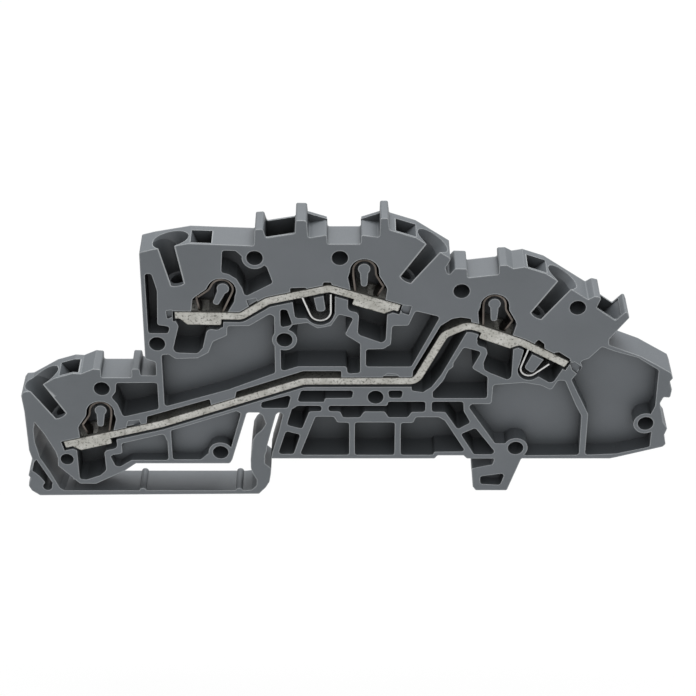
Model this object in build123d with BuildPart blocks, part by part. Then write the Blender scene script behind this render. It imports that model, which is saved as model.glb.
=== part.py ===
"""Double level terminal block for a 35 mm rail, seen on its open side.

Millimetres. X runs along the block, Z points up away from the rail, Y is the thickness.
The origin is on the rail seat, at the middle of the rail and of the thickness.
"""

import os
from math import cos, radians, sin, tan

from build123d import *

# Block and rail
block_thickness = 5.2
rail_width = 35.0
rail_lip = 1.0
rail_play = 0.35
seat_relief = 0.6
half_rail = rail_width / 2

# Moulded walls and pockets
back_wall = 0.9
pocket_depth = block_thickness - back_wall
web_depth = 2.8
panel_depth = 1.8
corner_radius = 0.45
slight_turn = 32
void_depth = 4.6
mark_depth = 0.35

# Stacking peg holes
peg_radius = 1.22
end_peg_radius = 1.03
peg_depth = 3.4
boss_wall = 0.65

# Conductor channels and the slots for the operating tool
channel_radius = 2.08
channel_inset = 1.85
channel_chamfer = 0.25
draft_angle = 1.0
funnel_half_width = 2.75
funnel_half_depth = 2.25
funnel_inset = 2.35
funnel_root_radius = 1.85
funnel_depth = 2.7
funnel_overrun = 0.8
guide_radius = 1.25
guide_inset = 2.1
guide_length = 5.5
tool_slot_width = 3.0
tool_slot_depth = 3.5
tool_slot_wall = 0.4
web_thickness = 0.2
tool_slot_length = 6.0

# Current bars
bar_thickness = 1.2
bar_width = 4.0
bar_recess = 0.25
bar_gap = 0.3
collar_drop = 1.0
collar_start = 0.3
collar_end = 6.7
collar_slant = 1.3
window_middle = 3.9
window_length = 3.7
window_width = 2.9

# Clamp springs and jumper springs
strip_thickness = 0.3
spring_width = 3.6
spring_recess = 0.45
tongue_width = 2.5
spring_gap = 0.35
boss_clearance = 0.1
loop_half_width = 1.6
loop_rise = 1.15
keyhole_radius = 0.9
stem_half_width = 0.45
stem_length = 3.0
clamp_height = 5.0
heel_along = 0.35
heel_seat = 0.03
knee_drop = 1.3
shoulder_out = 2.95
shoulder_drop = 3.5
shoulder_radius = 0.7
tongue_along = 3.4
loop_radius = loop_half_width - 0.05
loop_up = loop_rise - loop_radius
jumper_strip = 0.3

# Latch foot
strap_thickness = 0.75
strap_top = -6.3
strap_rib_radius = 0.55
lever_slot_radius = 0.72

# Working planes: the open face, and the closed face that the next block stacks against
open_face = Plane.XZ.offset(block_thickness / 2)
bar_front = open_face.offset(-bar_recess)
spring_front = open_face.offset(-spring_recess)
closed_face = open_face.offset(-block_thickness)


def beside_rail(side, points):
    """Points placed from the rail's right edge (side 1) or left edge (side -1)."""
    return [(side * half_rail + x, z) for x, z in points]


def corner_radii(corners, radius):
    """The wanted radius at each corner, limited to what its two walls can take.

    A wall that only turns slightly keeps its corner.
    """
    radii = []
    for index, corner in enumerate(corners):
        before = Vector(*corners[index - 1]) - Vector(*corner)
        after = Vector(*corners[(index + 1) % len(corners)]) - Vector(*corner)
        half_angle = radians(before.get_angle(after) / 2)
        longest = 0.45 * min(before.length, after.length) * tan(half_angle)
        is_slight = before.get_angle(after) > 180 - slight_turn
        radii.append(0 if is_slight else min(radius, longest))
    return radii


def outline(corners, radius=corner_radius):
    """A closed face with every corner rounded."""
    with BuildLine() as edge:
        FilletPolyline(*corners, radius=corner_radii(corners, radius), close=True)
    return make_face(edge.edges(), mode=Mode.PRIVATE).face()


def strip(route, radii, width):
    """The edge-on faces of a bent strip, of one thickness along its route."""
    with BuildLine() as path:
        FilletPolyline(*route, radius=radii)
    return trace(path.edges(), line_width=width, mode=Mode.PRIVATE).faces()


def run_on(route, extra):
    """The same route with both ends run on by an extra length."""
    first, second = Vector(*route[0]), Vector(*route[1])
    last, previous = Vector(*route[-1]), Vector(*route[-2])
    start = first + (first - second).normalized() * extra
    end = last + (last - previous).normalized() * extra
    return [(start.X, start.Y), *route[1:-1], (end.X, end.Y)]


# Routes of the two current bars, along the middle of their thickness
upper_route = [(-30.7, 26.45), (-20.8, 26.25), (-16.8, 28.95), (-7.6, 31.15), (2.8, 27.7)]
upper_bends = [1.6, 1.9, 1.6]
lower_route = [(-48.9, 2.45), (-33.75, 6.4), (-11.6, 14.45), (5.5, 14.5), (9.65, 22.95),
               (13.15, 24.75), (21.4, 21.5), (28.3, 17.6)]
lower_bends = [6.0, 4.0, 1.7, 1.9, 2.8, 6.0]


class Clamp:
    """One clamping point: where its loop hangs on its boss, and how it leans.

    side is +1 where the conductor comes from the right and -1 from the left.
    """

    def __init__(self, bar_start, bar_end, along, side, lean, channel_lean, mouth, channel_end):
        start, end = Vector(*bar_start), Vector(*bar_end)
        self.direction = (end - start).normalized()
        self.foot = start + self.direction * along
        normal = Vector(-self.direction.Y, self.direction.X)
        self.head = self.foot + normal * clamp_height
        self.side = side
        self.lean = radians(lean)
        self.channel_lean = radians(channel_lean)
        self.mouth = Vector(*mouth)
        self.channel_end = Vector(*channel_end)
        self.normal = normal

    def point(self, across, up):
        """A point given from the loop's centre, across towards the conductor and up."""
        flat = self.side * across
        turned_x = flat * cos(self.lean) - up * sin(self.lean)
        turned_z = flat * sin(self.lean) + up * cos(self.lean)
        return (self.head.X + turned_x, self.head.Y + turned_z)

    def points(self, pairs):
        return [self.point(across, up) for across, up in pairs]

    def on_bar(self, along, up):
        """A point given along the bar towards the conductor and up from its middle."""
        spot = self.foot + self.direction * (self.side * along) + self.normal * up
        return (spot.X, spot.Y)


clamps = {
    "lower_left": Clamp(lower_route[0], lower_route[1], 7.55, -1, -4, 32, (-51.45, 13.9),
                        (-48.9, 7.95)),
    "upper_left": Clamp(upper_route[0], upper_route[1], 7.25, -1, -24, 12, (-30.85, 38.55),
                        (-29.95, 31.75)),
    "upper_right": Clamp(upper_route[3], upper_route[4], 3.75, 1, 0, -36, (7.6, 38.3),
                         (3.5, 32.65)),
    "lower_right": Clamp(lower_route[5], lower_route[6], 2.1, 1, 0, -36, (27.05, 32.1),
                         (23.05, 26.3)),
}


def heel_route(clamp):
    """From the heel on the bar, up one side of the boss and to the top of the loop."""
    return [clamp.on_bar(heel_along, 0)] + clamp.points([
        (-loop_half_width, -knee_drop), (-loop_half_width, loop_rise), (0, loop_rise)])


def tongue_route(clamp):
    """From the top of the loop, down the conductor's side and into the bar's window."""
    return clamp.points([
        (0, loop_rise), (loop_half_width, loop_rise), (loop_half_width + 0.15, -knee_drop),
        (shoulder_out, -shoulder_drop)]) + [clamp.on_bar(tongue_along, -0.4)]


def spring_profile(clamp, width):
    """The clamp spring seen edge on, or the space that it takes up: its heel, then its tongue."""
    heel_bends = [2.0, loop_radius]
    tongue_bends = [loop_radius, 1.4, shoulder_radius]
    heel = strip(heel_route(clamp), heel_bends, width)
    tongue = strip(tongue_route(clamp), tongue_bends, width)
    return heel, tongue


# The two bent jumper springs and the bosses inside them
jumper_springs = {
    "upper": {
        "bar": (upper_route, upper_bends),
        "route": [(-11.7, 29.65), (-7.4, 18.1), (-7.4, 30.0)],
        "bend": 1.6,
        "boss": [(-10.1, 30.6), (-9.45, 27.3), (-8.15, 27.35), (-8.6, 30.9)],
        "pocket": [(-13.2, 29.9), (-12.75, 26.1), (-11.0, 26.05), (-10.0, 25.15), (-7.6, 25.25),
                   (-6.8, 26.8), (-6.75, 31.0)],
    },
    "lower": {
        "bar": (lower_route, lower_bends),
        "route": [(22.4, 20.2), (20.15, 12.9), (25.7, 17.5)],
        "bend": 1.3,
        "boss": [(23.3, 20.4), (21.9, 17.15), (23.15, 16.1), (24.9, 18.9)],
        "pocket": [(21.85, 21.3), (21.0, 17.1), (21.5, 15.6), (22.9, 15.05), (24.0, 15.6), (25.8, 14.4),
                   (26.5, 14.6), (27.9, 17.3), (26.5, 18.9)],
    },
}

# Blind holes that take the pegs of the next block; True marks one with a boss of its own
peg_holes = [
    (-42.42, 13.28, False), (-half_rail - 7.17, 1.2, True), (-33.55, 21.5, False), (-18.53, 36.6, True),
    (-6.03, 36.6, False), (-14.38, 22.23, True), (-0.62, 11.7, False), (11.97, 30.87, False),
    (29.33, 27.95, False), (half_rail + 3.72, 2.03, True), (41.08, 6.75, True),
]
end_peg = (-48.7, -0.13)

# Outer edge of the moulded body, clockwise from the left end of the latch strap
body_edge = [
    (-53.5, strap_top - strap_thickness - 0.2), (-54.7, -6.3), (-55.1, -5.4), (-55.0, -4.6),
    (-54.65, -3.9), (-55.0, -3.3), (-54.75, -2.4), (-53.9, -1.2), (-54.5, 1.6), (-54.6, 9.0),
    (-54.85, 12.0), (-54.4, 12.65),
    (-53.4, 12.75), (-49.5, 15.2), (-46.7, 16.1), (-45.4, 16.0), (-43.5, 16.9), (-42.35, 16.8),
    (-42.4, 15.3), (-37.75, 15.3), (-37.7, 16.9), (-36.5, 16.9), (-36.35, 15.7), (-33.95, 15.7),
    (-33.95, 18.15), (-35.5, 18.8), (-35.4, 37.5), (-33.4, 38.05), (-28.1, 39.05), (-18.55, 38.65),
    (-18.4, 41.4), (-17.2, 41.5), (-16.8, 40.0), (-12.55, 40.75), (-12.45, 42.95), (-10.85, 42.9),
    (-10.65, 40.0), (-7.9, 40.5), (-7.85, 38.95), (-2.95, 38.95), (-2.95, 40.5), (-0.25, 40.1),
    (-0.15, 43.3), (1.0, 43.3), (1.2, 41.35), (5.1, 40.0), (10.25, 36.45), (9.45, 34.9),
    (9.9, 33.5), (10.9, 34.75), (12.7, 34.7), (12.75, 33.15), (17.4, 33.75), (17.3, 35.3),
    (18.5, 35.35), (19.5, 34.75), (21.1, 35.05), (24.3, 33.9), (30.8, 29.35), (31.7, 29.95),
    (32.75, 29.7), (32.1, 27.9), (35.1, 25.65), (36.7, 27.4), (37.15, 26.2), (34.4, 22.4),
    (34.4, 21.3), (39.5, 19.15), (44.2, 16.2), (44.6, 15.2), (44.15, 14.6), (44.6, 13.1),
    (44.45, 11.6), (43.45, 11.7), (43.0, 10.6), (43.8, 6.9), (44.5, 5.8), (44.15, 4.6),
    (44.5, 2.8), (44.1, 2.3), (37.0, 0.25), (36.0, 0.0),
    *beside_rail(1, [(4.7, 0.0), (2.7, -6.25), (-2.2, -6.25), (-2.7, -5.5),
                     (-3.0, -rail_lip - 0.95), (-0.3, -rail_lip - 0.3),
                     (rail_play - 0.1, -rail_lip - 0.2), (rail_play + 0.2, 0.0), (-3.8, 0.0),
                     (-4.3, seat_relief), (-8.4, seat_relief), (-8.8, 0.0)]),
    *beside_rail(-1, [(-rail_play, 0.0), (-rail_play, -rail_lip), (0.65, -rail_lip - 1.0),
                      (0.55, -3.1), (0.3, -4.6), (-0.3, -5.7), (-1.4, -6.95)]),
    (-32.0, strap_top - strap_thickness),
]

# Through gap between the left block, its outer strip, the strap and the latch arm
latch_gap_edge = [
    (-48.2, -3.6), (-48.2, strap_top),
    *beside_rail(-1, [(-3.5, strap_top), (-2.5, -6.15), (-1.75, -5.4), (-1.65, -4.2),
                      (-2.25, -3.0), (-2.55, -1.9), (-2.55, -0.3), (-2.35, 1.65), (-2.1, 3.55),
                      (-1.6, 4.55), (-0.65, 5.5), (0.0, 6.65), (-0.45, 8.2), (-1.0, 8.8),
                      (-2.9, 8.8), (-5.4, -0.2), (-5.8, -0.95)]),
    (-38.0, -0.95), (-39.7, -2.3), (-44.5, -4.95), (-47.0, -4.9),
]

# Its upper end beside the outer strip, which is thicker towards the closed face
strip_gap_body = [(-48.0, strap_top), (-48.0, -3.8), (-50.2, -1.4), (-50.1, 0.0), (-50.35, 1.25),
                  (-51.8, 4.55)]
strip_gap_front = strip_gap_body + [(-53.2, 7.0), (-53.5, 5.5), (-53.5, 3.2), (-52.9, 0.1),
                                    (-51.55, -2.65), (-50.25, -5.8), (-49.6, strap_top)]
strip_gap_back = strip_gap_body + [(-52.75, 6.2), (-52.95, 5.2), (-52.85, 3.2), (-52.15, 0.3),
                                   (-50.95, -2.6), (-49.7, -5.2), (-49.0, strap_top)]

# Gap on the rail's side of the latch arm
arm_gap_edge = beside_rail(-1, [
    (1.55, 8.35), (1.9, 8.8), (2.35, 8.8), (2.65, 8.35), (2.0, 5.3), (0.9, 1.25), (0.65, -0.2),
    (-rail_play, -0.2), (-rail_play, 0.5), (0.0, 1.45), (0.0, 2.05), (0.55, 4.35),
])
strap_ribs = [(-37.2, strap_top - 0.05), (-half_rail - 4.5, strap_top - 0.05)]
lever_wedge_edge = [(-53.5, -0.2), (-53.9, -0.7), (-54.35, -2.45), (-53.9, -2.75), (-53.2, -3.55),
                    (-52.6, -4.5), (-52.3, -6.0), (-51.5, -5.4), (-51.3, -4.8)]
lever_slot_centre = (-52.17, -5.5)

# Pockets beside the wires, under each window
wire_pockets = [
    [(-47.05, 3.4), (-47.0, -4.1), (-45.9, -4.15), (-43.7, -3.3), (-42.7, -2.3), (-42.8, 1.5),
     (-40.7, 2.0), (-40.8, 4.6)],
    [(-31.0, 26.6), (-30.2, 24.7), (-31.35, 19.95), (-27.5, 19.75), (-26.7, 20.8), (-25.95, 24.2),
     (-23.75, 23.9), (-23.75, 26.3)],
    [(-4.8, 30.2), (-4.9, 27.5), (-3.2, 27.0), (-3.4, 23.2), (0.3, 21.65), (0.85, 22.3),
     (1.05, 28.2)],
    [(15.1, 23.9), (14.4, 21.3), (15.95, 20.75), (16.2, 19.8), (15.65, 18.0), (15.8, 16.8),
     (16.7, 16.2), (19.5, 14.9), (20.0, 15.5), (20.1, 22.0)],
]

# Voids that leave room above the bars
bar_voids = [
    [(-36.0, 5.8), (-35.8, 8.05), (-26.0, 11.35), (-25.7, 9.4)],
    [(-22.3, 10.6), (-21.9, 12.75), (-11.6, 16.55), (-5.85, 16.55), (-5.85, 14.5), (-11.6, 14.4)],
    [(4.9, 14.5), (5.0, 16.5), (9.0, 24.75), (10.7, 26.0), (12.0, 26.25), (13.5, 26.0),
     (13.8, 24.4), (9.7, 22.9)],
    [(4.7, 14.5), (4.9, 12.9), (6.6, 12.6), (7.9, 13.6), (9.3, 15.8), (12.9, 23.5), (12.9, 24.5),
     (9.7, 22.9), (5.6, 14.5)],
    [(-13.4, 29.8), (-13.4, 31.4), (-11.0, 31.5), (-11.0, 30.3)],
    [(-8.7, 31.0), (-8.5, 32.4), (-7.3, 32.4), (-7.1, 31.0)],
    [(23.3, 20.5), (23.3, 21.7), (23.8, 22.3), (24.7, 21.5), (24.9, 19.7)],
    [(26.2, 18.8), (26.3, 19.9), (27.0, 20.0), (28.8, 18.7), (28.4, 17.6)],
]

# Plain pockets that core out the moulding
core_pockets = [
    [(-40.2, 14.35), (-33.9, 14.4), (-33.9, 9.5), (-39.45, 8.0), (-40.2, 10.4), (-41.05, 11.65),
     (-40.35, 12.7)],
    [(-18.25, 9.65), (-18.1, 10.75), (-13.9, 12.05), (-13.6, 11.6), (-14.1, 9.65)],
    [(-12.65, 10.8), (-12.0, 12.95), (-4.0, 12.95), (-4.2, 11.55), (-8.4, 11.5), (-8.45, 10.8)],
    [(1.2, 12.95), (3.6, 12.95), (3.35, 11.55), (1.5, 11.55)],
    [(-14.3, 6.45), (-13.5, 9.4), (-12.6, 10.1), (-8.9, 10.1), (-8.9, 9.05), (-10.8, 9.0),
     (-11.95, 5.7)],
    [(-7.85, 10.1), (1.25, 10.1), (1.25, 10.87), (7.05, 10.87), (7.05, 8.95), (4.95, 8.9),
     (4.35, 7.9), (1.4, 7.9), (0.8, 9.0), (-2.35, 9.0), (-3.0, 7.9), (-5.6, 7.85), (-6.05, 9.0),
     (-7.85, 9.05)],
    [(8.0, 8.95), (8.0, 10.87), (12.85, 10.87), (12.95, 9.1), (14.05, 6.9), (12.1, 5.6),
     (10.1, 8.9)],
    [(12.6, 4.7), (14.85, 5.9), (18.0, 1.35), (17.6, 0.8), (14.8, 0.8)],
    [(-14.45, 5.3), (-12.2, 4.6), (-13.3, 0.9), (-15.75, 0.85)],
    [(-9.85, 8.05), (-7.0, 8.05), (-6.5, 6.95), (-4.65, 6.9), (-4.65, 0.7), (-12.35, 0.7)],
    [(-3.8, 0.7), (2.4, 0.7), (2.4, 6.95), (-3.8, 6.95)],
    [(3.35, 0.7), (3.3, 6.85), (5.2, 6.87), (5.6, 7.95), (9.1, 7.95), (10.1, 7.3), (13.25, 1.7),
     (13.0, 1.35), (8.6, 1.3), (8.4, 0.7)],
    [(8.1, 11.5), (8.1, 12.7), (8.9, 13.7), (9.65, 14.8), (10.4, 16.7), (11.1, 17.3), (11.1, 18.0),
     (12.6, 20.9), (15.3, 20.05), (13.95, 17.1), (16.4, 15.4), (16.45, 11.5)],
    [(-2.15, 17.35), (-2.15, 20.5), (0.5, 20.6), (1.6, 21.4), (1.75, 24.75), (4.2, 24.8),
     (5.2, 27.4), (8.9, 26.35), (4.75, 17.35)],
    [(-15.0, 16.45), (-12.4, 17.4), (-5.05, 17.4), (-4.9, 16.05), (-3.0, 16.2), (-3.0, 21.5),
     (-5.3, 23.2), (-4.0, 26.15), (-6.2, 26.8), (-7.4, 24.75), (-9.4, 24.3), (-10.9, 25.3),
     (-13.1, 24.95), (-15.0, 22.2)],
    [(-14.95, 24.4), (-14.95, 27.7), (-13.9, 27.6), (-13.15, 24.9)],
    [(-23.5, 34.1), (-23.25, 37.9), (-21.3, 37.85), (-19.9, 36.4), (-18.5, 36.6), (-16.75, 35.0),
     (-15.95, 32.3), (-20.1, 29.9), (-20.5, 31.4), (-21.3, 33.0), (-22.4, 33.8)],
    [(-34.8, 23.4), (-34.8, 33.9), (-33.8, 33.9), (-33.1, 30.9), (-33.35, 24.9), (-31.5, 24.6),
     (-31.8, 23.4)],
]
web_pockets = [
    [(-33.0, 9.9), (-33.0, 19.5), (-31.9, 19.6), (-30.9, 18.8), (-27.6, 18.9), (-25.9, 19.9),
     (-25.15, 21.9), (-23.0, 23.0), (-22.9, 24.7), (-19.6, 24.75), (-16.5, 26.85), (-15.85, 26.4),
     (-15.9, 16.2), (-23.0, 13.15)],
    [(13.7, 9.8), (14.1, 10.4), (17.15, 10.45), (17.3, 14.0), (22.0, 14.4), (24.6, 13.9),
     (26.2, 13.0), (27.1, 14.8), (28.2, 14.8), (30.1, 10.2), (31.1, 8.2), (31.15, 0.7),
     (22.8, 0.6), (21.2, 2.0), (20.0, 2.9), (18.0, 2.9)],
    [(33.4, 21.0), (31.6, 18.9), (30.3, 18.3), (30.7, 17.3), (29.15, 14.9), (32.1, 8.5),
     (32.1, 0.7), (37.0, 0.95), (42.05, 2.25), (42.1, 5.2), (41.1, 6.75), (42.3, 10.0),
     (42.3, 16.7), (39.0, 19.0), (35.5, 20.1)],
]
panel_pockets = [
    beside_rail(1, [(-1.6, -3.5), (2.3, -2.85), (1.6, -5.2), (-1.55, -5.0)]),
    [(43.3, 9.45), (43.6, 9.6), (44.1, 7.2), (43.8, 6.8)],
    [(-40.0, 2.9), (-33.35, 4.75), (-32.85, 3.2), (-32.85, -0.3), (-38.6, -0.3), (-40.5, -1.6),
     (-41.2, -1.5), (-41.9, 0.4), (-41.5, 0.7), (-40.0, 1.0)],
    [(-32.2, -0.2), (-32.25, 5.4),
     *beside_rail(-1, [(-4.5, 9.1), (-3.8, 8.7), (-5.8, 1.0), (-9.1, 1.0), (-10.3, -0.2)])],
]

# Shallow marks beside the bars, and the stops at the ends of the bars
bar_marks = [
    [(-39.15, 5.85), (-38.75, 7.2), (-37.05, 7.4), (-36.8, 6.6)],
    [(-19.95, 29.3), (-18.5, 29.65), (-18.2, 28.8), (-19.55, 28.1)],
    [(0.15, 15.3), (1.25, 16.1), (2.6, 15.9), (3.05, 15.3)],
    [(-31.95, 27.4), (-31.05, 27.55), (-31.1, 26.3), (-31.85, 25.95)],
    [(2.75, 28.45), (4.65, 28.25), (4.25, 26.65), (3.2, 27.05)],
    [(28.75, 18.0), (29.5, 18.2), (30.6, 17.3), (29.95, 16.0), (29.15, 16.75)],
]

# Hollow under the marker hook at the upper right
hook_pocket = [(33.5, 28.9), (30.9, 26.6), (33.6, 23.9), (36.0, 26.4)]

# The slot between the two marker posts, and the recesses behind them
jumper_slot = [(-16.85, 34.6), (-17.05, 43.0), (-12.65, 43.0), (-12.5, 34.6)]
jumper_slot_wall = 0.35
post_gusset = 0.7
gussets = [
    [(-10.95, 39.8), (-10.9, 41.6), (-7.95, 40.6), (-7.95, 39.6)],
    [(-0.1, 39.8), (-0.1, 41.6), (-2.9, 40.6), (-2.9, 39.6)],
]


def channel_plane(clamp, spot, up, inset):
    """A plane across the conductor channel, some way up along its axis from a spot."""
    axis = Vector(-sin(clamp.channel_lean), 0, cos(clamp.channel_lean))
    side = Vector(cos(clamp.channel_lean), 0, sin(clamp.channel_lean))
    start = Vector(spot.X, inset - block_thickness / 2, spot.Y)
    return Plane(origin=start + axis * up, x_dir=side, z_dir=axis)


def tool_slot_plane(clamp, along):
    """A plane across the slot for the operating tool, beside the funnel."""
    to_centre = Vector(-clamp.side * cos(clamp.channel_lean), -clamp.side * sin(clamp.channel_lean))
    top = clamp.mouth + to_centre * (funnel_half_width + tool_slot_width / 2 + web_thickness)
    down = (clamp.head - top).normalized()
    spot = top + down * along
    depth = tool_slot_wall + tool_slot_depth / 2 - block_thickness / 2
    return Plane(origin=(spot.X, depth, spot.Y), x_dir=(-down.Y, 0, down.X),
                 z_dir=(-down.X, 0, -down.Y))


def collar_outline(clamp, gap=0):
    """The drawn collar round the wire window, or the space left for it."""
    low = -bar_thickness / 2 - collar_drop - gap
    return outline([clamp.on_bar(collar_start - gap, 0), clamp.on_bar(collar_start - gap, low),
                    clamp.on_bar(collar_end - collar_slant, low),
                    clamp.on_bar(collar_end + gap, -bar_thickness / 2 + 0.2),
                    clamp.on_bar(collar_end + gap, 0)], radius=0.3)


def clamp_chamber(clamp):
    """The hollow that the clamp spring flexes in, down to the middle of the bar."""
    flare = spring_gap + strip_thickness / 2
    side = loop_half_width + flare
    return outline(
        [clamp.on_bar(heel_along - 0.6, 0)]
        + clamp.points([(-side - 0.3, -knee_drop - 0.2), (-side, loop_up), (side, loop_up),
                        (side + 0.2, -knee_drop), (shoulder_out + flare, -shoulder_drop)])
        + [clamp.on_bar(tongue_along + 1.5, 0)], radius=0.5)


def keyhole_stem(clamp):
    """The tapering stem under the round boss that the loop hangs on."""
    return outline(clamp.points([
        (-stem_half_width - 0.2, 0), (-stem_half_width, -stem_length),
        (stem_half_width, -stem_length), (stem_half_width + 0.2, 0)]), radius=stem_half_width)


# Everything that the mould's cores leave open from the open face
with BuildPart() as cores:
    for pockets, depth in ((core_pockets, pocket_depth), (web_pockets, web_depth),
                           (panel_pockets, panel_depth)):
        with BuildSketch(open_face):
            add([outline(pocket) for pocket in pockets])
            with Locations([(x, z) for x, z, has_boss in peg_holes if has_boss]):
                Circle(peg_radius + boss_wall, mode=Mode.SUBTRACT)
        extrude(amount=-depth)

    # Voids above the bars and wire pockets below their windows
    with BuildSketch(open_face):
        add([outline(pocket, radius=0.25) for pocket in bar_voids])
        add([outline(pocket, radius=0.8) for pocket in wire_pockets])
    extrude(amount=-void_depth)
    with BuildSketch(open_face):
        add([outline(mark, radius=0.15) for mark in bar_marks])
    extrude(amount=-mark_depth)

    # Chambers of the springs, each round a boss
    with BuildSketch(open_face):
        for clamp in clamps.values():
            heel, tongue = spring_profile(clamp, strip_thickness + 2 * spring_gap)
            add([clamp_chamber(clamp), *heel, *tongue])
            with Locations(clamp.point(0, loop_up)):
                Circle(loop_half_width + strip_thickness / 2 + spring_gap)
            with Locations(clamp.point(0, 0)):
                Circle(keyhole_radius, mode=Mode.SUBTRACT)
            add(keyhole_stem(clamp), mode=Mode.SUBTRACT)
            heel, tongue = spring_profile(clamp, strip_thickness + 2 * boss_clearance)
            add([*heel, *tongue])
        for spring in jumper_springs.values():
            add([outline(spring["pocket"], radius=0.6),
                 *strip(spring["route"], spring["bend"], jumper_strip + 2 * spring_gap)])
            add(outline(spring["boss"], radius=0.5), mode=Mode.SUBTRACT)
    extrude(amount=-(spring_recess + spring_width))

    # Slots that hold the bars and their collars
    with BuildSketch(open_face):
        slot_width = bar_thickness + 2 * bar_gap
        add([*strip(run_on(upper_route, bar_gap), upper_bends, slot_width),
             *strip(run_on(lower_route, bar_gap), lower_bends, slot_width)])
        add([collar_outline(clamp, bar_gap) for clamp in clamps.values()])
    extrude(amount=-(bar_recess + bar_width))

    # Blind peg holes
    with BuildSketch(open_face):
        with Locations([(x, z) for x, z, has_boss in peg_holes]):
            Circle(peg_radius)
        with Locations(end_peg):
            Circle(end_peg_radius)
    extrude(amount=-peg_depth)

# Funnels, channels and guides for the conductors, and the slots for the operating tool
with BuildPart() as entries:
    for clamp in clamps.values():
        end = clamp.channel_end
        length = (clamp.mouth - end).length + funnel_overrun
        with BuildSketch(channel_plane(clamp, clamp.mouth, -funnel_depth, channel_inset)):
            Circle(funnel_root_radius)
        with BuildSketch(channel_plane(clamp, clamp.mouth, funnel_overrun, funnel_inset)):
            Ellipse(funnel_half_width + 0.2, funnel_half_depth)
        loft()
        with BuildSketch(channel_plane(clamp, end, channel_chamfer, channel_inset)):
            Circle(channel_radius)
        extrude(amount=length - channel_chamfer, taper=-draft_angle)
        with BuildSketch(channel_plane(clamp, end, 0, channel_inset)):
            Circle(channel_radius - channel_chamfer)
        with BuildSketch(channel_plane(clamp, end, channel_chamfer, channel_inset)):
            Circle(channel_radius)
        loft()
        with BuildSketch(channel_plane(clamp, end, channel_chamfer, guide_inset)):
            Circle(guide_radius)
        extrude(amount=-guide_length, taper=2 * draft_angle)
        with BuildSketch(tool_slot_plane(clamp, tool_slot_length)):
            Rectangle(tool_slot_width * 0.8, tool_slot_depth)
        with BuildSketch(tool_slot_plane(clamp, -2.0)):
            Rectangle(tool_slot_width, tool_slot_depth)
        loft()

    # Jumper slot between the two left posts
    with BuildSketch(open_face.offset(-jumper_slot_wall)):
        add(outline(jumper_slot, radius=0.3))
    extrude(amount=-(block_thickness - 2 * jumper_slot_wall))

    # Hollow under the marker hook, open at its top
    with BuildSketch(open_face.offset(-jumper_slot_wall)):
        add(outline(hook_pocket, radius=0.1))
    extrude(amount=-(block_thickness - 2 * jumper_slot_wall))

    # The latch gap's end beside the outer strip
    with BuildSketch(open_face):
        Polygon(*strip_gap_front, align=None)
    with BuildSketch(closed_face):
        Polygon(*strip_gap_back, align=None)
    loft(ruled=True)

with BuildPart() as housing:
    with BuildSketch(open_face):
        add(outline(body_edge, radius=0.3))
        add([outline(latch_gap_edge), outline(lever_wedge_edge, radius=0.1),
             outline(arm_gap_edge)], mode=Mode.SUBTRACT)
        with Locations(lever_slot_centre):
            Circle(lever_slot_radius, mode=Mode.SUBTRACT)
        with Locations(strap_ribs):
            Circle(strap_rib_radius)
    extrude(amount=-block_thickness)

    # Thin walls behind the notches beside the marker posts
    with BuildSketch(closed_face):
        add([outline(gusset, radius=0.05) for gusset in gussets])
    extrude(amount=post_gusset)
    add([cores.part, entries.part], mode=Mode.SUBTRACT)

housing.part.label = "housing"
bar_middle = bar_recess + bar_width / 2 - block_thickness / 2


def current_bar(route, bends, bar_clamps):
    """A bar bent from strip, with a collar drawn down round each wire window."""
    with BuildPart() as bar:
        with BuildSketch(bar_front):
            add(strip(route, bends, bar_thickness))
            add([collar_outline(clamp) for clamp in bar_clamps])
        extrude(amount=-bar_width)
        for clamp in bar_clamps:
            middle = clamp.on_bar(window_middle, 0)
            with BuildSketch(Plane(origin=(middle[0], bar_middle, middle[1]),
                                   x_dir=(clamp.direction.X, 0, clamp.direction.Y),
                                   z_dir=(-clamp.direction.Y, 0, clamp.direction.X))):
                RectangleRounded(window_length, window_width, 0.4)
            extrude(amount=bar_thickness + collar_drop + 1, both=True, mode=Mode.SUBTRACT)
    return bar.part


upper_current_bar = current_bar(upper_route, upper_bends,
                                [clamps["upper_left"], clamps["upper_right"]])
upper_current_bar.label = "upper_current_bar"
lower_current_bar = current_bar(lower_route, lower_bends,
                                [clamps["lower_left"], clamps["lower_right"]])
lower_current_bar.label = "lower_current_bar"

os.makedirs("parts", exist_ok=True)
export_step(housing.part, "parts/housing.step")
export_step(upper_current_bar, "parts/upper_current_bar.step")
export_step(lower_current_bar, "parts/lower_current_bar.step")

for name, clamp in clamps.items():
    with BuildPart() as clamp_spring:
        with BuildSketch(spring_front):
            heel, tongue = spring_profile(clamp, strip_thickness)
            add(heel)
            add([*strip(upper_route, upper_bends, bar_thickness + 2 * heel_seat),
                 *strip(lower_route, lower_bends, bar_thickness + 2 * heel_seat)],
                mode=Mode.SUBTRACT)
            add(tongue)
        extrude(amount=-spring_width)
        # The tongue is narrower, to enter the window
        shoulder = shoulder_drop - 0.6
        for plane, depth in ((spring_front, -1), (spring_front.offset(-spring_width), 1)):
            with BuildSketch(plane):
                add(outline([clamp.point(0.9, -shoulder - 0.9), clamp.point(4.5, -shoulder + 0.3),
                             clamp.on_bar(tongue_along + 1.5, -2), clamp.on_bar(tongue_along - 1.2, -2)],
                            radius=0.2))
            extrude(amount=depth * (spring_width - tongue_width) / 2, mode=Mode.SUBTRACT)
    clamp_spring.part.label = "clamp_spring_" + name
    export_step(clamp_spring.part, "parts/clamp_spring_" + name + ".step")

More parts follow.
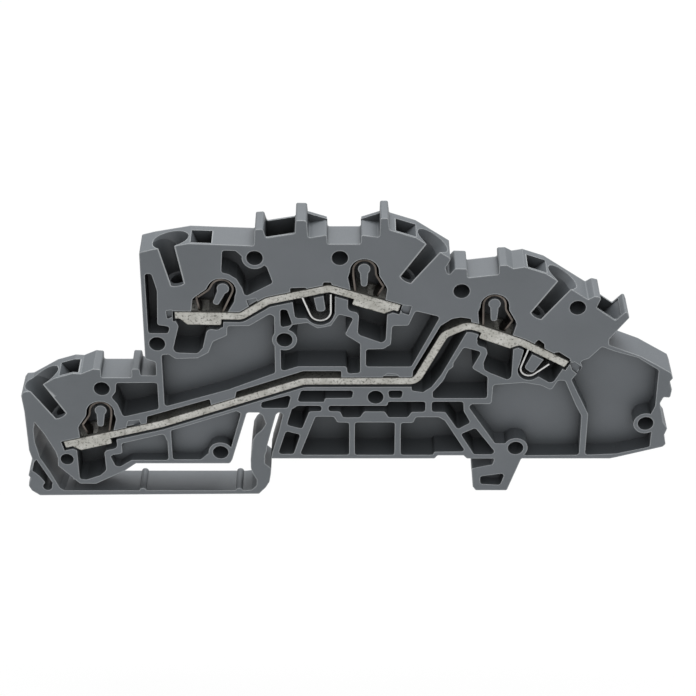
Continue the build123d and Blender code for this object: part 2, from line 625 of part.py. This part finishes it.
for name, spring in jumper_springs.items():
    with BuildPart() as jumper_spring:
        with BuildSketch(spring_front):
            add(strip(spring["route"], spring["bend"], jumper_strip))
            add(strip(*spring["bar"], bar_thickness + 2 * heel_seat), mode=Mode.SUBTRACT)
        extrude(amount=-spring_width)
    jumper_spring.part.label = "jumper_spring_" + name
    export_step(jumper_spring.part, "parts/jumper_spring_" + name + ".step")
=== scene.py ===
import math

import bpy
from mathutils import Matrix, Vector


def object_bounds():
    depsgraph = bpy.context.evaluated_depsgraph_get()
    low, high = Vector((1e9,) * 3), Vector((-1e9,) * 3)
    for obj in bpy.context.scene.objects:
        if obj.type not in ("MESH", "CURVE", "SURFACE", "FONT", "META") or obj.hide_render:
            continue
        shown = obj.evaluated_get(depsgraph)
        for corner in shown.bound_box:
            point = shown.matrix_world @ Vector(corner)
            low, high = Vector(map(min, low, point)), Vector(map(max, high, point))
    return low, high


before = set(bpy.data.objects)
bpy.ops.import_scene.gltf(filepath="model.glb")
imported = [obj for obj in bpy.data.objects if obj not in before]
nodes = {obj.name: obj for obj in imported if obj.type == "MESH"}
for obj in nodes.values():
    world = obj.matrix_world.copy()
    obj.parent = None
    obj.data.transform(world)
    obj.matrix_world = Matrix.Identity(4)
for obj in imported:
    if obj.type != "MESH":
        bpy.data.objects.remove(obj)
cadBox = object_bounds()
mm = 0.001
print("frame loaded:", sorted(nodes))


# Camera, at the photograph's viewing angle
view = {
    "target": (-4.842, -2.6, 20.75),  # mm, seen at the middle of the picture
    "distance": 316.3,
    "elevation": 33.8,  # degrees above the rail's plane
    "focalPixels": 2100,
    "pictureWidth": 696,  # pixels
    "sensorWidth": 36,  # mm
    "clip": (0.01, 20),  # m
}


def addCamera(view):
    camera = bpy.data.cameras.new("productCamera")
    camera.sensor_width = view["sensorWidth"]
    camera.lens = view["focalPixels"] * view["sensorWidth"] / view["pictureWidth"]
    camera.clip_start, camera.clip_end = view["clip"]
    rise = math.radians(view["elevation"])
    towards = Vector((0, -math.cos(rise), math.sin(rise)))
    holder = bpy.data.objects.new("productCamera", camera)
    holder.location = (Vector(view["target"]) + towards * view["distance"]) * mm
    holder.rotation_euler = (math.radians(90) - rise, 0, 0)
    bpy.context.scene.collection.objects.link(holder)
    bpy.context.scene.camera = holder


addCamera(view)
print("camera placed")


# Small helpers for node trees
def newMaterial(name):
    material = bpy.data.materials.new(name)
    material.use_nodes = True
    tree = material.node_tree
    return material, tree, tree.nodes["Principled BSDF"]


def placeNode(tree, kind, x, y, **values):
    node = tree.nodes.new(kind)
    node.location = (x, y)
    for key, value in values.items():
        setattr(node, key, value)
    return node


def setRange(node, fromSpan, toSpan=(0, 1)):
    node.inputs["From Min"].default_value, node.inputs["From Max"].default_value = fromSpan
    node.inputs["To Min"].default_value, node.inputs["To Max"].default_value = toSpan


def newGroup(name, inputs, outputs):
    group = bpy.data.node_groups.new(name, "ShaderNodeTree")
    for label, kind, default in inputs:
        socket = group.interface.new_socket(label, in_out="INPUT", socket_type=kind)
        socket.default_value = default
    for label, kind in outputs:
        group.interface.new_socket(label, in_out="OUTPUT", socket_type=kind)
    entry = placeNode(group, "NodeGroupInput", -900, 0)
    leave = placeNode(group, "NodeGroupOutput", 500, 0)
    return group, entry, leave


def placeGroup(tree, group, x, y, **values):
    node = placeNode(tree, "ShaderNodeGroup", x, y, node_tree=group)
    for key, value in values.items():
        node.inputs[key].default_value = value
    return node


# Mottle: slow shifts of tone and fine grain, used by every piece
mottleLook = {
    "noiseSpan": (0.3, 0.7),  # the part of the noise that spreads from dark to light
    "patchDetail": 3,
    "grainDetail": 4,
}


def makeMottle(look):
    group, entry, leave = newGroup(
        "surfaceMottle",
        [("Dark", "NodeSocketColor", (0.1, 0.1, 0.1, 1)),
         ("Light", "NodeSocketColor", (0.2, 0.2, 0.2, 1)),
         ("Patch Scale", "NodeSocketFloat", 120.0),
         ("Grain Scale", "NodeSocketFloat", 4000.0),
         ("Smooth", "NodeSocketFloat", 0.4),
         ("Rough", "NodeSocketFloat", 0.6)],
        [("Color", "NodeSocketColor"),
         ("Roughness", "NodeSocketFloat"),
         ("Grain", "NodeSocketFloat")])
    place = placeNode(group, "ShaderNodeTexCoord", -900, -300)
    patches = placeNode(group, "ShaderNodeTexNoise", -600, 100)
    patches.inputs["Detail"].default_value = look["patchDetail"]
    grain = placeNode(group, "ShaderNodeTexNoise", -600, -200)
    grain.inputs["Detail"].default_value = look["grainDetail"]
    tone = placeNode(group, "ShaderNodeMapRange", -350, 100)
    setRange(tone, look["noiseSpan"])
    blend = placeNode(group, "ShaderNodeMix", -50, 150, data_type="RGBA")
    gloss = placeNode(group, "ShaderNodeMapRange", -50, -150)
    setRange(gloss, look["noiseSpan"])
    link = group.links.new
    link(place.outputs["Object"], patches.inputs["Vector"])
    link(place.outputs["Object"], grain.inputs["Vector"])
    link(entry.outputs["Patch Scale"], patches.inputs["Scale"])
    link(entry.outputs["Grain Scale"], grain.inputs["Scale"])
    link(patches.outputs["Fac"], tone.inputs["Value"])
    link(tone.outputs["Result"], blend.inputs["Factor"])
    link(entry.outputs["Dark"], blend.inputs[6])
    link(entry.outputs["Light"], blend.inputs[7])
    link(grain.outputs["Fac"], gloss.inputs["Value"])
    link(entry.outputs["Smooth"], gloss.inputs["To Min"])
    link(entry.outputs["Rough"], gloss.inputs["To Max"])
    link(blend.outputs[2], leave.inputs["Color"])
    link(gloss.outputs["Result"], leave.inputs["Roughness"])
    link(grain.outputs["Fac"], leave.inputs["Grain"])
    return group


mottle = makeMottle(mottleLook)


# Specks: small dark pits and scuffs, as on punched metal
specksLook = {
    "pitSpan": (0.53, 0.61),  # noise from here up turns into pits
    "pitDetail": 6,
    "pitRoughness": 0.7,
    "spreadGain": 0.16,  # how far a full spread lowers the threshold
}


def makeSpecks(look):
    group, entry, leave = newGroup(
        "surfaceSpecks",
        [("Base", "NodeSocketColor", (0.5, 0.5, 0.5, 1)),
         ("Speck", "NodeSocketColor", (0.05, 0.05, 0.05, 1)),
         ("Scale", "NodeSocketFloat", 900.0),
         ("Amount", "NodeSocketFloat", 0.5),
         ("Spread", "NodeSocketFloat", 0.0)],
        [("Color", "NodeSocketColor"), ("Mask", "NodeSocketFloat")])
    place = placeNode(group, "ShaderNodeTexCoord", -900, -300)
    pits = placeNode(group, "ShaderNodeTexNoise", -600, 0)
    pits.inputs["Detail"].default_value = look["pitDetail"]
    pits.inputs["Roughness"].default_value = look["pitRoughness"]
    more = placeNode(group, "ShaderNodeMath", -450, -100, operation="MULTIPLY_ADD")
    more.inputs[1].default_value = look["spreadGain"]
    edge = placeNode(group, "ShaderNodeMapRange", -300, 0, interpolation_type="SMOOTHSTEP")
    setRange(edge, look["pitSpan"])
    share = placeNode(group, "ShaderNodeMath", -100, 0, operation="MULTIPLY")
    blend = placeNode(group, "ShaderNodeMix", 150, 100, data_type="RGBA")
    link = group.links.new
    link(place.outputs["Object"], pits.inputs["Vector"])
    link(entry.outputs["Scale"], pits.inputs["Scale"])
    link(entry.outputs["Spread"], more.inputs[0])
    link(pits.outputs["Fac"], more.inputs[2])
    link(more.outputs["Value"], edge.inputs["Value"])
    link(edge.outputs["Result"], share.inputs[0])
    link(entry.outputs["Amount"], share.inputs[1])
    link(share.outputs["Value"], blend.inputs["Factor"])
    link(entry.outputs["Base"], blend.inputs[6])
    link(entry.outputs["Speck"], blend.inputs[7])
    link(blend.outputs[2], leave.inputs["Color"])
    link(share.outputs["Value"], leave.inputs["Mask"])
    return group


specks = makeSpecks(specksLook)


# Edges: a mask along outer corners, and a painted-shade mask that darkens a point the deeper in a
# recess it lies, from ambient occlusion
edgesLook = {
    "edgeSpan": (0.99, 0.85),  # cosine of the turn, from no edge to a full one
    "openSpan": (0.5, 0.75),  # how open a corner lies before its edge shows
    # Painted shade: how hidden a point lies, raised to this power, sets how dark it is painted
    "paintedShadePower": 1.7,
    "levelSpan": (0.3, 1.0),  # height of the face's normal, from sloping to level
    "levelShade": (1.0, 0.5),  # painted light: level floors of pockets get only half the painted shade
    "samples": {"edge": 6, "recess": 8},
}


def makeEdges(look):
    group, entry, leave = newGroup(
        "edgeAndPaintedShadeMasks",
        [("Edge Width", "NodeSocketFloat", 0.0002), ("Painted Shade Reach", "NodeSocketFloat", 0.004)],
        [("Edge", "NodeSocketFloat"), ("Painted Shade", "NodeSocketFloat")])
    samples = look["samples"]
    rounded = placeNode(group, "ShaderNodeBevel", -650, 200, samples=samples["edge"])
    flat = placeNode(group, "ShaderNodeNewGeometry", -650, 0)
    turn = placeNode(group, "ShaderNodeVectorMath", -450, 150, operation="DOT_PRODUCT")
    edge = placeNode(group, "ShaderNodeMapRange", -250, 150)
    setRange(edge, look["edgeSpan"])
    # Painted shade: ambient occlusion says how hidden a point lies, and the power turns it into a
    # darkening mask
    openness = placeNode(group, "ShaderNodeAmbientOcclusion", -650, -250, samples=samples["recess"])
    hidden = placeNode(group, "ShaderNodeMath", -450, -250, operation="SUBTRACT")
    hidden.inputs[0].default_value = 1
    recess = placeNode(group, "ShaderNodeMath", -250, -250, operation="POWER")
    recess.inputs[1].default_value = look["paintedShadePower"]
    # Painted light: level floors, facing up, get less of the painted shade
    slope = placeNode(group, "ShaderNodeSeparateXYZ", -450, -450)
    level = placeNode(group, "ShaderNodeMapRange", -250, -450)
    setRange(level, look["levelSpan"], look["levelShade"])
    lightened = placeNode(group, "ShaderNodeMath", 0, -250, operation="MULTIPLY")
    outer = placeNode(group, "ShaderNodeMapRange", -250, -50)
    setRange(outer, look["openSpan"])
    share = placeNode(group, "ShaderNodeMath", 0, 100, operation="MULTIPLY")
    link = group.links.new
    link(entry.outputs["Edge Width"], rounded.inputs["Radius"])
    link(entry.outputs["Painted Shade Reach"], openness.inputs["Distance"])
    link(rounded.outputs["Normal"], turn.inputs[0])
    link(flat.outputs["Normal"], turn.inputs[1])
    link(turn.outputs["Value"], edge.inputs["Value"])
    link(openness.outputs["AO"], hidden.inputs[1])
    link(hidden.outputs["Value"], recess.inputs[0])
    link(openness.outputs["AO"], outer.inputs["Value"])
    link(edge.outputs["Result"], share.inputs[0])
    link(outer.outputs["Result"], share.inputs[1])
    link(share.outputs["Value"], leave.inputs["Edge"])
    link(flat.outputs["Normal"], slope.inputs["Vector"])
    link(slope.outputs["Z"], level.inputs["Value"])
    link(recess.outputs["Value"], lightened.inputs[0])
    link(level.outputs["Result"], lightened.inputs[1])
    link(lightened.outputs["Value"], leave.inputs["Painted Shade"])
    return group


edges = makeEdges(edgesLook)


# Grey moulded plastic of the housing, with painted highlights on its edges and painted shade in its
# recesses
housingPlastic = {
    "dark": (0.118, 0.131, 0.142, 1),
    "light": (0.138, 0.151, 0.165, 1),
    # Painted highlight: a light colour laid along the outer edges, where light catches the rims
    "rimHighlightTone": (0.42, 0.44, 0.45, 1),
    "rimHighlightShare": 0.85,
    "edgeWidth": 0.3,  # mm
    # Painted shade: recesses darken towards a near-black colour, the more the more hidden they lie
    "paintedShadeReach": 11.5,  # mm
    "paintedShadeStrength": 1.15,
    "paintedShadeTone": (0.012, 0.013, 0.014, 1),
    "patchScale": 90.0,
    "grainScale": 5200.0,
    "smooth": 0.42,
    "rough": 0.58,
    "grainHeight": 0.012,  # mm
    "grainStrength": 0.35,
    "specular": 0.45,
}


def makeHousingPlastic(look):
    material, tree, shader = newMaterial("housingPlastic")
    surface = placeGroup(tree, mottle, -500, 200, **{
        "Dark": look["dark"], "Light": look["light"], "Patch Scale": look["patchScale"],
        "Grain Scale": look["grainScale"], "Smooth": look["smooth"], "Rough": look["rough"]})
    masks = placeGroup(tree, edges, -800, -50, **{
        "Edge Width": look["edgeWidth"] * mm, "Painted Shade Reach": look["paintedShadeReach"] * mm})
    # Painted highlight along the outer edges
    rimHighlightTone = placeNode(tree, "ShaderNodeMix", -500, 400, data_type="RGBA")
    rimHighlightTone.inputs[7].default_value = look["rimHighlightTone"]
    highlightAmount = placeNode(tree, "ShaderNodeMath", -600, 0, operation="MULTIPLY")
    highlightAmount.inputs[1].default_value = look["rimHighlightShare"]
    # Painted shade in recesses
    shade = placeNode(tree, "ShaderNodeMath", -600, -150, operation="MULTIPLY")
    shade.inputs[1].default_value = look["paintedShadeStrength"]
    paintedShadeTone = placeNode(tree, "ShaderNodeMix", -250, 400, data_type="RGBA")
    paintedShadeTone.inputs[7].default_value = look["paintedShadeTone"]
    bump = placeNode(tree, "ShaderNodeBump", -250, -200)
    bump.inputs["Strength"].default_value = look["grainStrength"]
    bump.inputs["Distance"].default_value = look["grainHeight"] * mm
    link = tree.links.new
    link(masks.outputs["Edge"], highlightAmount.inputs[0])
    link(masks.outputs["Painted Shade"], shade.inputs[0])
    link(highlightAmount.outputs["Value"], rimHighlightTone.inputs["Factor"])
    link(surface.outputs["Color"], rimHighlightTone.inputs[6])
    link(shade.outputs["Value"], paintedShadeTone.inputs["Factor"])
    link(rimHighlightTone.outputs[2], paintedShadeTone.inputs[6])
    link(paintedShadeTone.outputs[2], shader.inputs["Base Color"])
    link(surface.outputs["Roughness"], shader.inputs["Roughness"])
    link(surface.outputs["Grain"], bump.inputs["Height"])
    link(bump.outputs["Normal"], shader.inputs["Normal"])
    shader.inputs["Specular IOR Level"].default_value = look["specular"]
    return material


# Tinned copper of the current bars
tinnedCopper = {
    "dark": (0.36, 0.355, 0.32, 1),
    "light": (0.60, 0.595, 0.56, 1),
    "speck": (0.05, 0.05, 0.04, 1),
    "patchScale": 420.0,
    "grainScale": 2600.0,
    "speckScale": 2600.0,
    "speckAmount": 0.68,
    "edgeWidth": 0.2,  # mm
    # Painted shade in recesses, towards a near-black colour
    "paintedShadeReach": 5.0,  # mm
    "paintedShadeStrength": 1.15,
    # Painted shade: a dark rim along the edges
    "paintedRimShade": 0.3,
    "paintedShadeTone": (0.012, 0.012, 0.010, 1),
    "smooth": 0.36,
    "rough": 0.6,
    "grainHeight": 0.03,  # mm
    "grainStrength": 0.5,
    "metal": 0.55,
}


def makeMetal(name, look):
    material, tree, shader = newMaterial(name)
    surface = placeGroup(tree, mottle, -800, 200, **{
        "Dark": look["dark"], "Light": look["light"], "Patch Scale": look["patchScale"],
        "Grain Scale": look["grainScale"], "Smooth": look["smooth"], "Rough": look["rough"]})
    marks = placeGroup(tree, specks, -450, 200, **{
        "Speck": look["speck"], "Scale": look["speckScale"], "Amount": look["speckAmount"]})
    masks = placeGroup(tree, edges, -450, 500, **{
        "Edge Width": look["edgeWidth"] * mm, "Painted Shade Reach": look["paintedShadeReach"] * mm})
    # Painted shade in recesses
    shade = placeNode(tree, "ShaderNodeMath", -250, 500, operation="MULTIPLY", use_clamp=True)
    shade.inputs[1].default_value = look["paintedShadeStrength"]
    # Painted shade along the edges: a dark rim, added to the painted shade in recesses
    rim = placeNode(tree, "ShaderNodeMath", -200, 600, operation="MULTIPLY_ADD", use_clamp=True)
    rim.inputs[1].default_value = look["paintedRimShade"]
    paintedShadeTone = placeNode(tree, "ShaderNodeMix", -150, 350, data_type="RGBA")
    paintedShadeTone.inputs[7].default_value = look["paintedShadeTone"]
    bump = placeNode(tree, "ShaderNodeBump", -250, -200)
    bump.inputs["Strength"].default_value = look["grainStrength"]
    bump.inputs["Distance"].default_value = look["grainHeight"] * mm
    link = tree.links.new
    link(surface.outputs["Color"], marks.inputs["Base"])
    # Specks crowd along the edges: partly pits, partly a painted ragged shadow line
    link(masks.outputs["Edge"], marks.inputs["Spread"])
    link(masks.outputs["Painted Shade"], shade.inputs[0])
    link(masks.outputs["Edge"], rim.inputs[0])
    link(shade.outputs["Value"], rim.inputs[2])
    link(rim.outputs["Value"], paintedShadeTone.inputs["Factor"])
    link(marks.outputs["Color"], paintedShadeTone.inputs[6])
    link(paintedShadeTone.outputs[2], shader.inputs["Base Color"])
    link(surface.outputs["Roughness"], shader.inputs["Roughness"])
    link(surface.outputs["Grain"], bump.inputs["Height"])
    link(bump.outputs["Normal"], shader.inputs["Normal"])
    shader.inputs["Metallic"].default_value = look["metal"]
    return material


# Rolled strip of the clamp springs, dark with a warm cast
darkSpring = {
    "dark": (0.090, 0.078, 0.068, 1),
    "light": (0.21, 0.185, 0.165, 1),
    "speck": (0.05, 0.035, 0.03, 1),
    "patchScale": 300.0,
    "grainScale": 3000.0,
    "speckScale": 1200.0,
    "speckAmount": 0.35,
    "edgeWidth": 0.08,  # mm
    # Painted shade in recesses, towards a near-black colour
    "paintedShadeReach": 4.0,  # mm
    "paintedShadeStrength": 1.25,
    # Painted shade: a dark rim along the edges
    "paintedRimShade": 0.5,
    "paintedShadeTone": (0.010, 0.009, 0.008, 1),
    "smooth": 0.25,
    "rough": 0.45,
    "grainHeight": 0.01,  # mm
    "grainStrength": 0.5,
    "metal": 0.9,
}

# Bright drawn strip of the jumper springs
brightSpring = {
    "dark": (0.60, 0.60, 0.59, 1),
    "light": (0.80, 0.80, 0.79, 1),
    "speck": (0.30, 0.30, 0.29, 1),
    "patchScale": 300.0,
    "grainScale": 3000.0,
    "speckScale": 900.0,
    "speckAmount": 0.15,
    "edgeWidth": 0.13,  # mm
    # Painted shade in recesses, towards a near-black colour
    "paintedShadeReach": 4.0,  # mm
    "paintedShadeStrength": 1.25,
    # Painted shade: a dark rim along the edges
    "paintedRimShade": 0.75,
    "paintedShadeTone": (0.014, 0.014, 0.013, 1),
    "smooth": 0.22,
    "rough": 0.36,
    "grainHeight": 0.006,  # mm
    "grainStrength": 0.5,
    "metal": 0.75,
}


def dress(node, material):
    mesh = nodes[node].data
    mesh.materials.clear()
    mesh.materials.append(material)


plastic = makeHousingPlastic(housingPlastic)
copper = makeMetal("tinnedCopper", tinnedCopper)
darkSteel = makeMetal("darkSpring", darkSpring)
brightSteel = makeMetal("brightSpring", brightSpring)
for node in nodes:
    if node == "housing":
        dress(node, plastic)
    elif node.endswith("current_bar"):
        dress(node, copper)
    elif node.startswith("clamp"):
        dress(node, darkSteel)
    else:
        dress(node, brightSteel)
print("materials made")


# Softened edges on the metal, as punching leaves them
softEdges = {
    "bar": {"width": 0.08, "segments": 2},  # mm, held back where a short edge leaves less room
    "spring": {"width": 0.04, "segments": 1},
    "steepTurn": 32,  # degrees
    "flatTurn": 0.6,  # degrees, faces within it are one flat
    "joinWithin": 0.001,  # mm
}


# Smooth shading over gentle turns, with a sharp line where the turn is steeper
def makeShading(steepTurn):
    group = bpy.data.node_groups.new("shadeByTurn", "GeometryNodeTree")
    group.interface.new_socket("Geometry", in_out="INPUT", socket_type="NodeSocketGeometry")
    group.interface.new_socket("Geometry", in_out="OUTPUT", socket_type="NodeSocketGeometry")
    entry = placeNode(group, "NodeGroupInput", -900, 0)
    leave = placeNode(group, "NodeGroupOutput", 300, 0)
    plain = placeNode(group, "GeometryNodeRemoveAttribute", -700, 0)
    plain.inputs["Name"].default_value = "custom_normal"
    faces = placeNode(group, "GeometryNodeSetShadeSmooth", -450, 0, domain="FACE")
    angle = placeNode(group, "GeometryNodeInputMeshEdgeAngle", -700, -250)
    gentle = placeNode(group, "FunctionNodeCompare", -450, -250,
                       data_type="FLOAT", operation="LESS_THAN")
    gentle.inputs["B"].default_value = math.radians(steepTurn)
    lines = placeNode(group, "GeometryNodeSetShadeSmooth", -150, 0, domain="EDGE")
    link = group.links.new
    link(entry.outputs["Geometry"], plain.inputs["Geometry"])
    link(plain.outputs["Geometry"], faces.inputs["Geometry"])
    link(faces.outputs["Geometry"], lines.inputs["Geometry"])
    link(angle.outputs["Unsigned Angle"], gentle.inputs["A"])
    link(gentle.outputs["Result"], lines.inputs["Shade Smooth"])
    link(lines.outputs["Geometry"], leave.inputs["Geometry"])
    return group


shading = makeShading(softEdges["steepTurn"])


def softenEdges(piece, look):
    weld = piece.modifiers.new("joinedCorners", "WELD")
    weld.merge_threshold = softEdges["joinWithin"] * mm
    flats = piece.modifiers.new("flatFaces", "DECIMATE")
    flats.decimate_type = "DISSOLVE"
    flats.angle_limit = math.radians(softEdges["flatTurn"])
    shade = piece.modifiers.new("shadeByTurn", "NODES")
    shade.node_group = shading
    bevel = piece.modifiers.new("softEdges", "BEVEL")
    bevel.width = look["width"] * mm
    bevel.segments = look["segments"]
    bevel.limit_method = "ANGLE"
    bevel.angle_limit = math.radians(softEdges["steepTurn"])
    bevel.use_clamp_overlap = True
    bevel.harden_normals = True
    bevel.miter_outer = "MITER_ARC"


for name, piece in nodes.items():
    if name != "housing":
        softenEdges(piece, softEdges["bar" if name.endswith("bar") else "spring"])
print("edges softened")


# Floor, light and background
studio = {
    "floorDrop": 40,  # mm under the lowest point
    "floorSize": 6.0,  # m
    "floorColor": (0.82, 0.82, 0.82, 1),
    "floorRoughness": 0.9,
    "whiteShare": 0.88,
    "worldStrength": 0.36,
    "lampAim": (0, 0, 0.02),  # m
}
lamps = [
    {"name": "skyPanel", "place": (0.05, 0.35, 0.9), "size": 0.8, "power": 10.8},
    {"name": "frontPanel", "place": (0.1, -0.95, 0.45), "size": 0.9, "power": 2.7},
]


# Rays that see the plain white: the camera's, and those off metal or through glass
def backgroundRays(tree):
    path = placeNode(tree, "ShaderNodeLightPath", -900, 300)
    glossy = placeNode(tree, "ShaderNodeMath", -700, 300, operation="MAXIMUM")
    clear = placeNode(tree, "ShaderNodeMath", -500, 300, operation="MAXIMUM")
    link = tree.links.new
    link(path.outputs["Is Camera Ray"], glossy.inputs[0])
    link(path.outputs["Is Glossy Ray"], glossy.inputs[1])
    link(glossy.outputs["Value"], clear.inputs[0])
    link(path.outputs["Is Transmission Ray"], clear.inputs[1])
    return clear.outputs["Value"]


def addFloor(look):
    low = cadBox[0][2] - look["floorDrop"] * mm
    half = look["floorSize"] / 2
    mesh = bpy.data.meshes.new("floor")
    corners = [(-half, -half, low), (half, -half, low), (half, half, low), (-half, half, low)]
    mesh.from_pydata(corners, [], [(0, 1, 2, 3)])
    floor = bpy.data.objects.new("floor", mesh)
    bpy.context.scene.collection.objects.link(floor)
    material, tree, shader = newMaterial("paleFloor")
    shader.inputs["Base Color"].default_value = look["floorColor"]
    shader.inputs["Roughness"].default_value = look["floorRoughness"]
    white = placeNode(tree, "ShaderNodeEmission", -200, -300)
    share = placeNode(tree, "ShaderNodeMath", -300, 300, operation="MULTIPLY")
    share.inputs[1].default_value = look["whiteShare"]
    blend = placeNode(tree, "ShaderNodeMixShader", 300, 100)
    link = tree.links.new
    link(backgroundRays(tree), share.inputs[0])
    link(share.outputs["Value"], blend.inputs["Fac"])
    link(shader.outputs["BSDF"], blend.inputs[1])
    link(white.outputs["Emission"], blend.inputs[2])
    link(blend.outputs["Shader"], tree.nodes["Material Output"].inputs["Surface"])
    mesh.materials.append(material)


def addWorld(look):
    world = bpy.data.worlds.new("studio")
    world.use_nodes = True
    tree = world.node_tree
    light = tree.nodes["Background"]
    light.inputs["Strength"].default_value = look["worldStrength"]
    light.inputs["Color"].default_value = (1, 1, 1, 1)
    white = placeNode(tree, "ShaderNodeBackground", 0, -200)
    blend = placeNode(tree, "ShaderNodeMixShader", 200, 100)
    link = tree.links.new
    link(backgroundRays(tree), blend.inputs["Fac"])
    link(light.outputs["Background"], blend.inputs[1])
    link(white.outputs["Background"], blend.inputs[2])
    link(blend.outputs["Shader"], tree.nodes["World Output"].inputs["Surface"])
    bpy.context.scene.world = world


def addLamp(lamp, target):
    light = bpy.data.lights.new(lamp["name"], "AREA")
    light.size = lamp["size"]
    light.energy = lamp["power"]
    holder = bpy.data.objects.new(lamp["name"], light)
    holder.location = lamp["place"]
    aim = Vector(target) - holder.location
    holder.rotation_euler = aim.to_track_quat("-Z", "Y").to_euler()
    bpy.context.scene.collection.objects.link(holder)


addFloor(studio)
addWorld(studio)
for lamp in lamps:
    addLamp(lamp, studio["lampAim"])
bpy.context.scene.view_settings.view_transform = "Standard"
print("studio ready")
